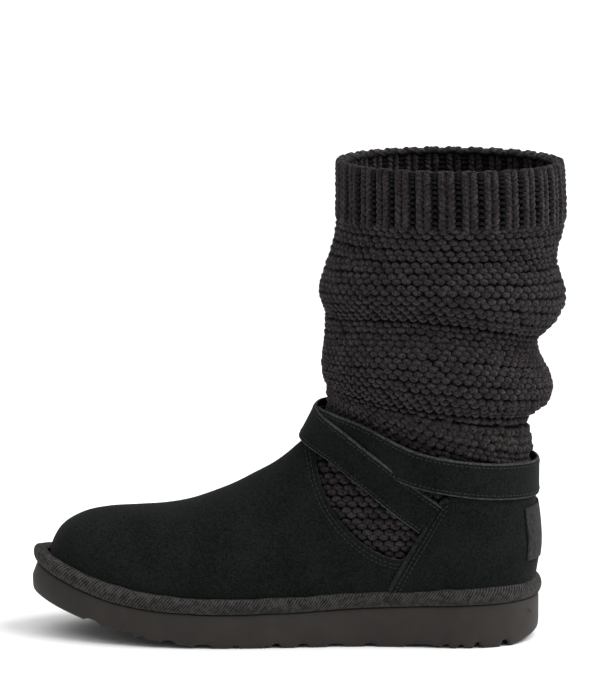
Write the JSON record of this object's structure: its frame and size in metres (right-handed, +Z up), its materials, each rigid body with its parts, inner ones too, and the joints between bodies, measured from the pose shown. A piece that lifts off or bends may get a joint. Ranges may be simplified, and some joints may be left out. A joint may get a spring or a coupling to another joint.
{
  "type": "slouchy knit-shaft boot",
  "caption": "Pull-on ankle boot with a suede foot, slouched knit shaft with ribbed cuff, wrapped suede strap and thick moulded sole.",
  "frame": {"origin": "on the floor, at the middle of the heel's tread", "axes": "+X from toe to heel, +Y towards the lateral side, +Z up"},
  "size_m": [0.2846, 0.101, 0.2572],
  "materials": {
    "sole_rubber": "matt brown-grey moulded foam rubber",
    "tape": "charcoal twill tape over a foam core",
    "suede": "black suede with a fine nap",
    "strap_suede": "black suede with raw, lighter edges",
    "knit": "chunky charcoal-brown yarn",
    "label": "blank woven label",
    "fleece": "dark short fleece"
  },
  "bodies": {
    "root": {"outsole": "sole_rubber", "foxing_tape": "tape", "upper": "suede", "heel_counter": "suede", "counter_piping_medial": "suede", "counter_piping_lateral": "suede", "knit_shaft": "knit", "ankle_strap": "strap_suede", "heel_label": "label", "insole": "fleece"}
  },
  "joints": []
}
